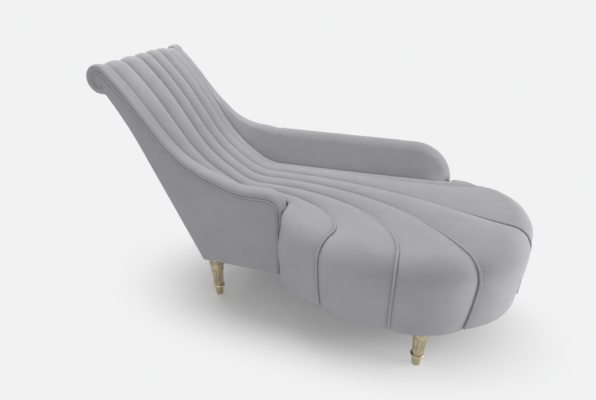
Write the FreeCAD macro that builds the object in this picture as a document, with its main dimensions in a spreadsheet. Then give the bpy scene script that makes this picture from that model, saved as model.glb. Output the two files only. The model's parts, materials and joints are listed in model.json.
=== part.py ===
import FreeCAD, Part
import math
import os

from FreeCAD import Placement, Rotation, Vector

# Chaise longue: raked channelled back that rolls over into a scroll, channels that fan
# over a rounded foot end, a short low arm on the near side, a long arm on the far side,
# four turned metal legs. Millimetres and degrees, +Z up, head end at +Y, near side at -X.

doc = FreeCAD.newDocument("chaise_longue")
sheet = doc.addObject("Spreadsheet::Sheet", "sizes")

driving = [
    # body
    ("origin_x", 168.9), ("origin_y", -389.5),
    ("body_width", 525.0), ("underside_height", 190.0), ("seat_height", 448.0),
    ("arm_front", -310.0), ("panel_thickness", 12.0), ("clearance", 0.6),
    # side profile of the seat and back, from the level seat up to the scroll
    ("seat_behind", 296.0), ("lumbar_radius", 200.0), ("lumbar_angle", 30.0),
    ("lumbar_run", 46.0), ("lower_back_radius", 431.0), ("back_angle", 56.0),
    ("back_run", 129.0), ("shoulder_radius", 883.0), ("shoulder_angle", 44.0),
    ("scroll_radius", 38.0), ("scroll_turn", 206.0),
    # outer back
    ("outer_back_angle", 65.8), ("outer_back_above", 197.0), ("roll_gap", 3.0),
    # channels across the crest, across the seat and around the foot
    ("crest_1", 90.0), ("crest_2", 86.0), ("crest_3", 65.0),
    ("crest_4", 67.0), ("crest_5", 62.0),
    ("across_1", 38.0), ("across_2", 56.0), ("across_3", 60.0),
    ("across_4", 60.0), ("across_5", 57.0),
    ("around_1", 215.0), ("around_2", 246.0), ("around_3", 252.0),
    ("around_4", 300.0), ("around_5", 410.0), ("around_6", 106.0),
    ("pad_thickness", 30.0), ("back_crown", 9.0), ("seat_crown", 13.0),
    ("wall_crown", 15.0), ("edge_radius", 65.0), ("nose_edge_radius", 34.0),
    ("wall_tuck", 20.0),
    ("crown_share", 0.165), ("hem_crown", 5.0), ("nose_facing", 180.0), ("nose_hug_side", 6.0),
    ("nose_hug_head", 22.0), ("welt_lift", 1.4), ("welt_spiral", 29.0),
    ("seam_depth", 14.0), ("edge_welt_radius", 3.0), ("front_crown", 3.0),
    # how far each seam runs on from the seat, and how far it comes straight to the edge
    ("leave_0", 100.0), ("leave_1", 240.0), ("leave_2", 330.0), ("leave_3", 440.0),
    ("leave_4", 520.0), ("leave_5", 420.0), ("leave_6", 420.0),
    ("arrive_0", 50.0), ("arrive_1", 100.0), ("arrive_2", 180.0), ("arrive_3", 200.0),
    ("arrive_4", 150.0), ("arrive_5", 40.0), ("arrive_6", 10.0),
    # plan outline of the foot end, from the near arm round to the far arm
    ("outline_start", 5.0), ("outline_gap", 28.0), ("outline_heading", 190.4),
    ("bulge_radius", 154.0), ("bulge_turn", 48.6), ("flank_radius", 600.0),
    ("flank_turn", 31.0), ("foot_near_radius", 420.0), ("foot_far_radius", 270.0),
    # wings and arms
    ("wing_top_width", 52.0), ("wing_seat_width", 112.0),
    ("near_wing_drop", 7.0), ("near_arm_rise", 44.0), ("near_nose_radius", 45.0),
    ("near_rise_start", 190.0),
    ("near_rise_end", -130.0), ("near_crown_across", 30.0), ("near_inner_across", 64.0),
    ("near_inner_rise", 10.0),
    ("far_wing_drop", 21.0), ("far_arm_rise", 100.0), ("far_nose_radius", 135.0),
    ("far_arm_front", -855.0), ("far_rise_start", 195.0), ("far_rise_end", -150.0),
    ("far_crown_across", 24.0),
    ("far_inner_across", 60.0), ("far_inner_rise", -2.0),
    ("arm_crown", 25.0), ("nose_crown", 19.0), ("wing_crown", 14.0),
    ("scroll_crown", 23.0), ("scroll_crown_across", 12.0), ("scroll_inner_across", 44.0),
    ("scroll_inner_rise", 17.0), ("back_crown_across", 14.0),
    ("back_inner_across", 42.0), ("back_inner_rise", 16.5),
    ("band_depth", 18.0), ("welt_radius", 3.6), ("roll_ease", 40.0),
    ("seam_turn_below", 20.0), ("seam_turn_above", 380.0),
    # frame and padding inside
    ("frame_board", 22.0), ("rail_width", 28.0), ("rail_height", 60.0),
    ("rail_middle_below", 68.0), ("rail_upper_above", 117.0), ("former_board", 14.0),
    ("deck_board", 12.0), ("foam_height", 26.0), ("back_foam", 12.0),
    ("strap_width", 50.0), ("strap_thickness", 2.5), ("strap_pitch", 68.0),
    ("strap_count", 5.0), ("strap_first", 40.0), ("foam_start", 10.0),
    ("foam_end", 120.0), ("cover_thickness", 2.0), ("scroll_rod_radius", 7.0),
    ("strut_side", 40.0), ("strut_near_x", 90.0), ("strut_far_inset", 125.0),
    ("strut_first_y", -130.0), ("strut_pitch", 270.0),
    # legs
    ("leg_inset_side", 41.0), ("leg_inset_rear", 31.0), ("leg_front_near_x", -91.0),
    ("leg_front_near_y", -828.0), ("leg_front_far_x", 392.0),
    ("leg_front_far_y", -905.0), ("leg_toe_radius", 13.9), ("leg_foot_radius", 17.0),
    ("leg_ring_height", 45.0), ("leg_ring_radius", 23.3), ("leg_ring_tube", 5.3),
    ("leg_taper_bottom", 17.5), ("leg_taper_top", 27.0), ("leg_neck_height", 152.0),
    ("leg_cap_radius", 30.0), ("leg_cap_tube", 4.4), ("leg_cap_low", 156.0),
    ("leg_cap_high", 165.5), ("leg_top_height", 14.0), ("leg_top_radius", 29.0),
    ("flute_low", 60.0), ("flute_high", 122.0), ("flute_low_radius", 4.6),
    ("flute_high_radius", 6.2), ("flute_out", 2.6), ("flute_count", 8.0),
    ("glide_height", 3.0), ("glide_radius", 10.0),
    # leg fasteners
    ("stud_radius", 4.0), ("stud_below", 26.0), ("plate_side", 40.0),
    ("plate_thickness", 3.0), ("screw_radius", 1.6), ("screw_head_radius", 3.2),
    ("screw_head_height", 1.8), ("screw_length", 10.0), ("screw_spread", 13.5),
    ("screw_fit", 0.2),
]
for row, (alias, value) in enumerate(driving, start=1):
    sheet.set("A%d" % row, alias)
    sheet.set("B%d" % row, "%g" % value)
    sheet.setAlias("B%d" % row, alias)
doc.recompute()


def size(alias):
    return float(sheet.get(alias))


def point(x, y, z):
    return Vector(x, y, z)


def smooth(value, low, high):
    # 0 at low, 1 at high, level at both ends
    share = min(1.0, max(0.0, (value - low) / (high - low)))
    return share * share * (3.0 - 2.0 * share)


def blend(first, second, share):
    return first + (second - first) * share


class Chain:
    """Tangent lines and arcs in one plane: steps are (length, 0) or (radius, turn)."""

    def __init__(self, start, heading, steps):
        self.spans = []
        here = start
        for extent, turn in steps:
            length = extent if turn == 0 else extent * abs(math.radians(turn))
            self.spans.append((here, heading, extent, turn, length))
            here = self.place(self.spans[-1], length)[0]
            heading += turn
        self.length = sum(span[4] for span in self.spans)
        self.finish = here
        self.heading = heading

    def place(self, span, run):
        (u, v), heading, extent, turn, length = span
        angle = math.radians(heading)
        if turn == 0:
            return (u + run * math.cos(angle), v + run * math.sin(angle)), heading
        side = 1.0 if turn > 0 else -1.0
        swept = side * run / extent
        cu = u - side * extent * math.sin(angle)
        cv = v + side * extent * math.cos(angle)
        after = angle + swept
        end = (cu + side * extent * math.sin(after), cv - side * extent * math.cos(after))
        return end, math.degrees(after)

    def at(self, run):
        # point and heading at a distance along the chain
        rest = min(max(run, 0.0), self.length)
        for span in self.spans:
            if rest <= span[4] or span is self.spans[-1]:
                return self.place(span, min(rest, span[4]))
            rest -= span[4]

    def begin(self, index):
        # distance along the chain at which span number index begins
        return sum(span[4] for span in self.spans[:index])

    def edges(self, to_point, offset=0.0):
        # the chain as Part edges, moved to its left by offset
        result = []
        for index, span in enumerate(self.spans):
            ends = [self.begin(index) + span[4] * share for share in (0.0, 0.5, 1.0)]
            if span[3] == 0 or abs(span[2]) < 1e-6:
                spots = [to_point(*self.beside(run, offset)) for run in (ends[0], ends[2])]
                result.append(Part.LineSegment(*spots).toShape())
            else:
                spots = [to_point(*self.beside(run, offset)) for run in ends]
                result.append(Part.Arc(*spots).toShape())
        return result

    def beside(self, run, offset):
        (u, v), heading = self.at(run)
        angle = math.radians(heading)
        return u - offset * math.sin(angle), v + offset * math.cos(angle)


# The outer back leans from the rear bottom corner, and the seat starts a fixed distance
# in front of it, so the back keeps its depth when a height changes.
back_heading = math.radians(size("outer_back_angle"))
seat_rise = size("seat_height") - size("underside_height")
seat_run = seat_rise / math.sin(back_heading)
seat_rear = seat_rise / math.tan(back_heading) - size("seat_behind")

# Side profile of the seams: level seat, lumbar curve, straight back, shoulder and scroll.
profile = Chain(
    (seat_rear, size("seat_height")), 0.0,
    [(size("lumbar_radius"), size("lumbar_angle")),
     (size("lumbar_run"), 0),
     (size("lower_back_radius"), size("back_angle") - size("lumbar_angle")),
     (size("back_run"), 0),
     (size("shoulder_radius"), size("shoulder_angle") - size("back_angle")),
     (size("scroll_radius"), -size("scroll_turn"))])
scroll_begin = profile.begin(5)
scroll_centre = profile.beside(scroll_begin, -size("scroll_radius"))
roll_radius = size("scroll_radius") + size("back_crown")

# Plan outline of the foot end at mid height.
outline = Chain(
    (size("outline_start"), size("arm_front") - size("outline_gap")),
    size("outline_heading"),
    [(size("bulge_radius"), size("bulge_turn")),
     (size("flank_radius"), size("flank_turn")),
     (size("foot_near_radius"), 360.0 - size("outline_heading") - size("bulge_turn")
      - size("flank_turn")),
     (size("foot_far_radius"), 90.0)])

# Places of the seven seams at the crest, across the seat and around the outline.
crest_x = [size("wing_top_width")]
across_x = [size("wing_seat_width")]
around = [0.0]
for number in range(1, 6):
    crest_x.append(crest_x[-1] + size("crest_%d" % number))
    across_x.append(across_x[-1] + size("across_%d" % number))
for number in range(1, 7):
    around.append(around[-1] + size("around_%d" % number))
crest_x.append(size("body_width") - size("wing_top_width"))
across_x.append(size("body_width") - size("wing_seat_width"))
around = [min(place, outline.length) for place in around]

# Reach of the two handles that bend each seam from the seat out to the outline.
leave_reach = [size("leave_%d" % number) for number in range(7)]
arrive_reach = [size("arrive_%d" % number) for number in range(7)]

# Stations along a seam: shares of the fan curve, angles of the rounded edge, shares of
# the wall down to the bottom edge.
fan_shares = (0.15, 0.3, 0.45, 0.6, 0.75, 0.88, 1.0)
edge_angles = (22.5, 45.0, 67.5, 90.0)
wall_shares = (0.2, 0.45, 0.72, 1.0)


def between(values, place):
    # value at a seam number that may fall halfway between two seams
    low = int(math.floor(place))
    if low >= len(values) - 1:
        return values[-1]
    return blend(values[low], values[low + 1], place - low)


def back_runs():
    # distances along the profile from the underside of the scroll to the level seat
    shares = [(5, (1.0, 0.875, 0.75, 0.625, 0.5, 0.375, 0.25, 0.125, 0.0)),
              (4, (0.66, 0.33, 0.0)), (3, (0.5, 0.0)), (2, (0.75, 0.5, 0.25, 0.0)),
              (1, (0.0,)), (0, (0.66, 0.33, 0.0))]
    runs = []
    for index, parts in shares:
        for share in parts:
            runs.append(profile.begin(index) + share * profile.spans[index][4])
    return runs


def seam_x(place, y):
    share = smooth(y, seat_rear - size("seam_turn_below"),
                   seat_rear + size("seam_turn_above"))
    return blend(between(across_x, place), between(crest_x, place), share)


def fan_handles(place):
    """Four points of the curve that takes a seam from the seat out to the edge."""
    (bx, by), heading = outline.at(between(around, place))
    side = math.radians(blend(size("nose_facing"), heading - 90.0, smooth(place, 0.0, 1.0)))
    away = point(math.cos(side), math.sin(side), 0)
    radius = blend(size("nose_edge_radius"), size("edge_radius"), smooth(place, 0.0, 1.0))
    start = point(between(across_x, place), seat_rear, size("seat_height"))
    end = point(bx, by, size("seat_height")) - away * radius
    leave = start - point(0, between(leave_reach, place), 0)
    arrive = end - away * between(arrive_reach, place)
    return (start, leave, arrive, end), away, radius


def bent(handles, share):
    start, leave, arrive, end = handles
    rest = 1.0 - share
    return (start * rest ** 3 + leave * (3 * rest * rest * share)
            + arrive * (3 * rest * share * share) + end * share ** 3)


def hug_at(place):
    # how far the wall under the near arm moves back against it, only at the first seam
    return point(-size("nose_hug_side"), size("nose_hug_head"), 0) * (
        1.0 - smooth(place, 0.0, 1.0))


def seam_stations(place):
    """Points and outward directions along a seam, head to foot to bottom edge."""
    stations = []
    for run in back_runs():
        (y, z), heading = profile.at(run)
        angle = math.radians(heading)
        out = point(0, -math.sin(angle), math.cos(angle))
        stations.append((point(seam_x(place, y), y, z), out))
    handles, away, radius = fan_handles(place)
    for share in fan_shares:
        stations.append((bent(handles, share), point(0, 0, 1)))
    end = handles[3]
    centre = end - point(0, 0, radius)
    for degrees in edge_angles:
        angle = math.radians(degrees)
        out = away * math.sin(angle) + point(0, 0, math.cos(angle))
        stations.append((centre + out * radius, out))
    face = centre + away * radius
    drop = face.z - size("underside_height")
    tuck = size("wall_tuck") * smooth(place, 0.0, 1.0)
    for share in wall_shares:
        spot = face - point(0, 0, drop * share)
        spot = spot - away * (tuck * share * share)
        spot = spot + hug_at(place) * smooth(share, 0.0, 0.5)
        stations.append((spot, away))
    return stations


back_count = len(back_runs())
fan_count = len(fan_shares)
station_count = back_count + fan_count + len(edge_angles) + len(wall_shares)


def crown_at(index):
    # how far a channel stands proud of its seams
    if index < back_count:
        share = smooth(index, back_count - 6, back_count)
        return blend(size("back_crown"), size("seat_crown"), share)
    full = station_count - len(wall_shares)
    if index < full:
        share = smooth(index, back_count, back_count + fan_count)
        return blend(size("seat_crown"), size("wall_crown"), share)
    return blend(size("wall_crown"), size("hem_crown"), smooth(index, full, station_count - 1))


def crown_between(a, b, index):
    # a narrow channel stands less proud
    return min(crown_at(index), (b - a).Length * size("crown_share"))


def toward(spot, target, distance):
    step = target - spot
    step.normalize()
    return spot + step * distance


def channel(number):
    """Padded channel between seam number and the next: crowned outside, hollow inside."""
    left = seam_stations(number)
    middle = seam_stations(number + 0.5)
    right = seam_stations(number + 1)
    depth = size("pad_thickness")
    gap = size("clearance")
    wires = []
    for index in range(station_count):
        a, out_a = left[index]
        m, out_m = middle[index]
        b, out_b = right[index]
        a_in = a - out_a * depth
        b_in = b - out_b * depth
        proud = crown_between(a, b, index)
        m_in = m - out_m * (depth - 0.25 * proud)
        crown = m + out_m * proud
        a, b = toward(a, m, gap), toward(b, m, gap)
        a_in, b_in = toward(a_in, m_in, gap), toward(b_in, m_in, gap)
        wires.append(Part.Wire([
            Part.Arc(a, crown, b).toShape(), Part.LineSegment(b, b_in).toShape(),
            Part.Arc(b_in, m_in, a_in).toShape(), Part.LineSegment(a_in, a).toShape()]))
    return Part.makeLoft(wires, True, True)


def ring(centre, across, up, radius):
    # round section of three arcs
    spots = []
    for step in range(6):
        angle = math.radians(60.0 * step)
        spots.append(centre + across * (radius * math.cos(angle))
                     + up * (radius * math.sin(angle)))
    arcs = [Part.Arc(spots[k], spots[k + 1], spots[(k + 2) % 6]).toShape()
            for k in (0, 2, 4)]
    return Part.Wire(arcs)


def cord_along(spots, ups, radius):
    """Round cord through a row of points, each with its upward direction."""
    wires = []
    for index, spot in enumerate(spots):
        before = spots[max(index - 1, 0)]
        after = spots[min(index + 1, len(spots) - 1)]
        along = after - before
        along.normalize()
        across = along.cross(ups[index])
        across.normalize()
        wires.append(ring(spot, across, across.cross(along), radius))
    return Part.makeLoft(wires, True, True)


def seam_welt(number):
    """Covered cord that lies in the groove of one inner seam."""
    stations = seam_stations(number)
    lift = size("welt_radius") + size("welt_lift")
    spots = [spot + out * lift for spot, out in stations]
    return cord_along(spots, [out for spot, out in stations], size("welt_radius"))


# Each wing is a padded band that starts in the scroll, runs down the back, becomes the
# arm, rounds the nose and goes down the arm front. A section of it lies in the plane of
# the side profile's normal: welt edge, crown, inner shoulder, seam, and two base corners.
def wing_sizes(title, seam):
    keys = ("wing_drop", "arm_rise", "nose_radius", "rise_start", "rise_end", "crown_across",
            "inner_across", "inner_rise")
    wing = {key: size(title + "_" + key) for key in keys}
    wing["seam"] = seam
    wing["far"] = title == "far"
    return wing


near = wing_sizes("near", 0)
near["front"] = size("arm_front")
far = wing_sizes("far", 6)
far["front"] = size("far_arm_front")


def seam_side(wing, y):
    # distance of the wing's seam from its own side panel
    if y > seat_rear:
        x = seam_x(wing["seam"], y)
    else:
        handles = fan_handles(wing["seam"])[0]
        low, high = 0.0, 1.0
        for step in range(30):
            middle = 0.5 * (low + high)
            if bent(handles, middle).y > y:
                low = middle
            else:
                high = middle
        x = bent(handles, low).x
    return size("body_width") - x if wing["far"] else x


def band_sections(wing):
    """Rows of (origin, normal, welt, crown, inner, seam) in each section's own plane."""
    rows = []
    for run in back_runs():
        (y, z), heading = profile.at(run)
        angle = math.radians(heading)
        arm = 1.0 - smooth(y, wing["rise_end"], wing["rise_start"])
        roll = smooth(run, scroll_begin, scroll_begin + size("roll_ease"))
        drop = blend(wing["wing_drop"], size("scroll_radius") - size("welt_spiral"), roll)
        top = blend(size("wing_crown"), size("scroll_crown"), roll)
        edge = blend(-drop, wing["arm_rise"], arm)
        values = {}
        for key in ("crown_across", "inner_across", "inner_rise"):
            upper = blend(size("back_" + key), size("scroll_" + key), roll)
            values[key] = blend(upper, wing[key], arm)
        crown = (values["crown_across"], edge + blend(top, size("arm_crown"), arm))
        inner = (values["inner_across"], edge + values["inner_rise"])
        rows.append(((y, z), (-math.sin(angle), math.cos(angle)), edge, crown, inner,
                     (seam_side(wing, y), 0.0)))
    centre_y = wing["front"] + wing["nose_radius"]
    level = size("seat_height")
    arm_values = (wing["crown_across"], wing["arm_rise"] + size("arm_crown"))
    for share in (0.25, 0.5, 0.75):
        y = blend(seat_rear, centre_y, share)
        rows.append(((y, level), (0.0, 1.0), wing["arm_rise"], arm_values,
                     (wing["inner_across"], wing["arm_rise"] + wing["inner_rise"]),
                     (seam_side(wing, y), 0.0)))
    centre_z = level + wing["arm_rise"] - wing["nose_radius"]
    for degrees in (0.0, 15.0, 30.0, 45.0, 60.0, 75.0, 90.0):
        angle = math.radians(degrees)
        share = degrees / 90.0
        full = wing["nose_radius"] + wing["inner_rise"] - 2.0
        reach = (level - centre_z) / max(math.cos(angle), 0.05)
        reach = min(max(reach, full * smooth(share, 0.3, 1.0)), full)
        y = centre_y - reach * math.sin(angle)
        crown = wing["nose_radius"] + blend(size("arm_crown"), size("nose_crown"), share)
        inner = wing["nose_radius"] + blend(wing["inner_rise"], 4.0, share)
        rows.append(((centre_y, centre_z), (-math.sin(angle), math.cos(angle)),
                     wing["nose_radius"], (wing["crown_across"], crown),
                     (wing["inner_across"], inner), (seam_side(wing, y), reach)))
    last = rows[-1]
    for share in (0.25, 0.5, 0.75, 1.0):
        z = blend(centre_z, size("underside_height"), share)
        proud = blend(size("nose_crown"), size("front_crown"), smooth(share, 0.0, 0.5))
        rows.append(((centre_y, z), (-1.0, 0.0), wing["nose_radius"],
                     (wing["crown_across"], wing["nose_radius"] + proud),
                     (wing["inner_across"], wing["nose_radius"] + blend(4.0, 1.0, share)),
                     last[5]))
    return rows


def band_spot(wing, row, across, rise):
    (y, z), (ny, nz) = row[0], row[1]
    x = size("body_width") - across if wing["far"] else across
    return point(x, y + ny * rise, z + nz * rise)


def wing_band(wing):
    gap = size("clearance")
    ledge = size("panel_thickness") + gap
    board_side = ledge + size("frame_board") + gap
    wires = []
    for row in band_sections(wing):
        edge, crown, inner, seam = row[2:]
        corners = [(0.0, edge), crown, inner, (seam[0] - gap, seam[1]),
                   (seam[0] - gap, seam[1] - size("seam_depth")),
                   (board_side, max(edge - size("band_depth"), -size("pad_thickness"))),
                   (ledge, edge - size("band_depth")), (ledge, edge)]
        spots = [band_spot(wing, row, *corner) for corner in corners]
        edges = [Part.Arc(spots[0], spots[1], spots[2]).toShape()]
        for k in range(2, 7):
            edges.append(Part.LineSegment(spots[k], spots[k + 1]).toShape())
        edges.append(Part.LineSegment(spots[7], spots[0]).toShape())
        wires.append(Part.Wire(edges))
    return Part.makeLoft(wires, True, True)


# Outer back: a straight run from the rear bottom corner and an arc that ends under the
# scroll.
tuck_angle = math.radians(-115.0)
tuck_reach = roll_radius + size("roll_gap")
under_scroll = (scroll_centre[0] + tuck_reach * math.cos(tuck_angle),
                scroll_centre[1] + tuck_reach * math.sin(tuck_angle))
straight_run = seat_run + size("outer_back_above")
bend_at = (straight_run * math.cos(back_heading),
           size("underside_height") + straight_run * math.sin(back_heading))
chord = math.hypot(under_scroll[0] - bend_at[0], under_scroll[1] - bend_at[1])
chord_heading = math.atan2(under_scroll[1] - bend_at[1], under_scroll[0] - bend_at[0])
back_turn = 2.0 * (chord_heading - back_heading)
outer_back = Chain((0.0, size("underside_height")), size("outer_back_angle"),
                   [(straight_run, 0),
                    (abs(chord / (2.0 * math.sin(back_turn / 2.0))),
                     math.degrees(back_turn))])


def prism(corners, start, width):
    """Solid across the body from corner points (y, z) of its side view."""
    spots = [point(start, y, z) for y, z in corners]
    spots.append(spots[0])
    return Part.Face(Part.makePolygon(spots)).extrude(point(width, 0, 0))


def side_outline(wing, inset, rear_inset, floor):
    """Corner points (y, z) of a side board: welt path, front, underside, outer back."""
    corners = []
    for row in band_sections(wing):
        (y, z), (ny, nz), edge = row[0], row[1], row[2]
        corners.append((y + ny * (edge - inset), z + nz * (edge - inset)))
    corners[-1] = (corners[-1][0], floor)
    begin = (floor - size("underside_height")) / math.sin(back_heading)
    runs = [begin + (outer_back.length - begin) * share
            for share in (0.0, 0.35, 0.68, 0.76, 0.84, 0.92, 1.0)]
    corners += [outer_back.beside(run, rear_inset) for run in runs]
    return corners


def side_board(wing, inset, rear_inset, floor, start, thickness):
    x = size("body_width") - start - thickness if wing["far"] else start
    return prism(side_outline(wing, inset, rear_inset, floor), x, thickness)


def double_welt(wing):
    """Two covered cords side by side on the panel, just inside its edge."""
    cords = []
    radius = size("edge_welt_radius")
    for rank in (1.0, 3.2):
        spots, ups = [], []
        for row in band_sections(wing):
            spots.append(band_spot(wing, row, -radius - 0.3, row[2] - rank * radius - 0.4))
            ups.append(point(1.0 if wing["far"] else -1.0, 0, 0))
        cords.append(cord_along(spots, ups, radius))
    return Part.makeCompound(cords)


def inside_width():
    # clear width between the two side frames, and where it starts
    start = size("panel_thickness") + size("frame_board") + 2.0 * size("clearance")
    return start, size("body_width") - 2.0 * start


def back_panel():
    start = size("panel_thickness") + size("clearance")
    to_point = lambda y, z: point(start, y, z)
    depth = size("panel_thickness")
    outer = outer_back.edges(to_point)
    inner = outer_back.edges(to_point, depth)
    ends = [outer_back.beside(run, offset) for run in (0.0, outer_back.length)
            for offset in (0.0, depth)]
    caps = [Part.LineSegment(to_point(*ends[k]), to_point(*ends[k + 1])).toShape()
            for k in (0, 2)]
    wire = Part.Wire(Part.__sortEdges__(outer + inner + caps))
    return Part.Face(wire).extrude(point(size("body_width") - 2.0 * start, 0, 0))


def layer(near_depth, far_depth, first_run, last_run):
    """Slab that follows the side profile between two depths, across the inside width."""
    runs = [run for run in sorted(back_runs()) if first_run < run < last_run]
    runs = [first_run] + runs + [last_run]
    corners = [profile.beside(run, -near_depth) for run in runs]
    corners += [profile.beside(run, -far_depth) for run in reversed(runs)]
    return prism(corners, *inside_width())


def rail(low_run, high_run, level=None):
    """Board between the side frames on the inner face of the outer back."""
    near_edge = size("panel_thickness") + size("clearance")
    far_edge = near_edge + size("rail_width")
    lows = [low_run, low_run]
    if level is not None:
        lows = [(level - size("underside_height") - edge * math.cos(back_heading))
                / math.sin(back_heading) for edge in (near_edge, far_edge)]
    corners = [outer_back.beside(lows[0], near_edge), outer_back.beside(high_run, near_edge),
               outer_back.beside(high_run, far_edge), outer_back.beside(lows[1], far_edge)]
    return prism(corners, *inside_width())


def webbing():
    """Flat straps across the back, behind the foam."""
    depth = size("pad_thickness") + size("back_foam") + 2.0 * size("clearance")
    half = size("strap_width") / 2.0
    straps = []
    for number in range(int(size("strap_count"))):
        run = profile.begin(2) + size("strap_first") + number * size("strap_pitch")
        angle = math.radians(profile.at(run)[1])
        corners = []
        for along, down in ((-half, 0.0), (half, 0.0), (half, 1.0), (-half, 1.0)):
            y, z = profile.beside(run, -depth - down * size("strap_thickness"))
            corners.append((y + along * math.cos(angle), z + along * math.sin(angle)))
        straps.append(prism(corners, *inside_width()))
    return Part.makeCompound(straps)


def foot_edges(z, extra):
    """Arcs around the foot end at one height, inside the channels by extra."""
    depth = size("pad_thickness") + extra
    edges = []
    for number in range(6):
        spots = []
        for place in (number, number + 0.5, number + 1):
            spot, out = seam_stations(place)[-1]
            spots.append(point(spot.x, spot.y, z) - out * depth - hug_at(place))
        edges.append(Part.Arc(*spots).toShape())
    return edges


def plan_board(z, thickness, extra, rear, near_side, far_side):
    """Flat board inside the body: foot arcs, far side, rear, near side, arm front."""
    edges = foot_edges(z, extra)
    first = edges[0].Vertexes[0].Point
    last = edges[-1].Vertexes[1].Point
    gap = size("clearance")
    notch_x = size("wing_seat_width") + 2.0
    far_front = size("far_arm_front") + size("band_depth") + 2.0
    near_front = size("arm_front") + size("band_depth") + 2.0
    corners = [last, point(size("body_width") - notch_x, last.y, z),
                point(size("body_width") - notch_x, far_front, z),
                point(far_side, far_front, z), point(far_side, rear, z),
                point(near_side, rear, z), point(near_side, near_front, z),
                point(notch_x, near_front, z), point(notch_x, first.y - 5.0, z), first]
    for k in range(len(corners) - 1):
        if (corners[k + 1] - corners[k]).Length > gap:
            edges.append(Part.LineSegment(corners[k], corners[k + 1]).toShape())
    wire = Part.Wire(Part.__sortEdges__(edges))
    return Part.Face(wire).extrude(point(0, 0, thickness))


# Cells by expression, for the pieces that are boxes, cylinders and the like.
def cell(expression):
    for alias, value in sorted(driving, key=lambda pair: -len(pair[0])):
        expression = expression.replace("<" + alias + ">", "sizes." + alias)
    return expression


def primitive(kind, name, properties, place=()):
    item = doc.addObject(kind, name)
    item.Label = name
    for key, expression in properties.items():
        item.setExpression(key, cell(expression))
    for axis, expression in zip("xyz", place):
        item.setExpression("Placement.Base." + axis, cell(expression))
    return item


nodes = []
shift = point(-size("origin_x"), -size("origin_y"), 0)


def feature(name, shape):
    item = doc.addObject("Part::Feature", name)
    item.Label = name
    item.Shape = shape
    item.Placement = Placement(shift, Rotation())
    nodes.append(item)
    return item


def group(name, items):
    item = doc.addObject("Part::Compound", name)
    item.Label = name
    item.Links = items
    nodes.append(item)


# Upholstery
for number in range(6):
    feature("channel_%d" % (number + 1), channel(number))
for number in range(1, 6):
    feature("seam_welt_%d" % number, seam_welt(number))
gap = size("clearance")
floor = size("underside_height") + size("cover_thickness") + gap
frame_floor = floor + size("deck_board") + gap
back_inset = size("panel_thickness") + gap
board_inset = size("band_depth") + gap
board_start = size("panel_thickness") + gap
for title, wing in (("near", near), ("far", far)):
    feature(title + "_wing_band", wing_band(wing))
    feature(title + "_side_panel", side_board(
        wing, gap, 0.0, size("underside_height"), 0.0, size("panel_thickness")))
    feature(title + "_double_welt", double_welt(wing))
    feature(title + "_side_frame", side_board(
        wing, board_inset, back_inset, frame_floor, board_start, size("frame_board")))
feature("outer_back_panel", back_panel())

# Legs stand at these places, near side first
leg_names = ("leg_rear_near", "leg_rear_far", "leg_front_near", "leg_front_far")
leg_cells = (("<leg_inset_side>", "-<leg_inset_rear>"),
             ("<body_width> - <leg_inset_side>", "-<leg_inset_rear>"),
             ("<leg_front_near_x>", "<leg_front_near_y>"),
             ("<leg_front_far_x>", "<leg_front_far_y>"))
leg_spots = ((size("leg_inset_side"), -size("leg_inset_rear")),
             (size("body_width") - size("leg_inset_side"), -size("leg_inset_rear")),
             (size("leg_front_near_x"), size("leg_front_near_y")),
             (size("leg_front_far_x"), size("leg_front_far_y")))
screw_signs = ((-1, -1), (-1, 1), (1, -1), (1, 1))

# Boards, foam and webbing inside the body
near_side, clear_width = inside_width()
far_side = near_side + clear_width
rear = -(size("panel_thickness") / math.sin(back_heading)) - gap
wall_gap = gap + 1.0
cover = plan_board(size("underside_height"), size("cover_thickness"), wall_gap, rear,
                   board_start, size("body_width") - board_start)
base = plan_board(floor, size("deck_board"), wall_gap, rear, board_start,
                  size("body_width") - board_start)
for x, y in leg_spots:
    hole = Part.makeCylinder(size("stud_radius") + gap, 2.0 * size("stud_below"),
                             point(x, y, floor - size("stud_below")))
    cover = cover.cut(hole)
    half = size("plate_side") / 2.0 + gap
    pocket = Part.makeBox(2.0 * half, 2.0 * half, size("plate_thickness") + gap,
                          point(x - half, y - half, floor))
    base = base.cut(hole).cut(pocket)
    for sign_x, sign_y in screw_signs:
        place = point(x + sign_x * size("screw_spread"), y + sign_y * size("screw_spread"),
                      floor)
        base = base.cut(Part.makeCylinder(size("screw_radius") + size("screw_fit"),
                                          size("screw_length") + gap, place))
feature("dust_cover", cover)
feature("base_board", base)
deck_bottom = (size("seat_height") - size("pad_thickness") - size("foam_height")
               - size("deck_board") - 2.0 * gap)
feature("seat_deck", plan_board(deck_bottom, size("deck_board"), wall_gap, rear, near_side,
                                far_side))
foam_inset = size("edge_radius") - size("pad_thickness") - size("wall_tuck") + 4.0
foam_bottom = deck_bottom + size("deck_board") + gap
foam_rear = seat_rear + size("foam_start")
feature("seat_foam", plan_board(foam_bottom, size("foam_height"), foam_inset, foam_rear,
                                size("wing_seat_width") + 3.0,
                                size("body_width") - size("wing_seat_width") - 3.0))
outer_edges = foot_edges(frame_floor, wall_gap)
inner_edges = foot_edges(frame_floor, wall_gap + size("former_board"))
ends = [outer_edges[0].Vertexes[0].Point, inner_edges[0].Vertexes[0].Point,
        outer_edges[-1].Vertexes[1].Point, inner_edges[-1].Vertexes[1].Point]
caps = [Part.LineSegment(ends[k], ends[k + 1]).toShape() for k in (0, 2)]
former_wire = Part.Wire(Part.__sortEdges__(outer_edges + inner_edges + caps))
feature("foot_former", Part.Face(former_wire).extrude(
    point(0, 0, deck_bottom - frame_floor - gap)))
foam_depth = size("pad_thickness") + gap
feature("back_foam", layer(foam_depth, foam_depth + size("back_foam"),
                           size("foam_start") + 2.0, scroll_begin - size("foam_end")))
feature("back_webbing", webbing())
feature("rail_lower", rail(0.0, size("rail_height"), frame_floor))
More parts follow.
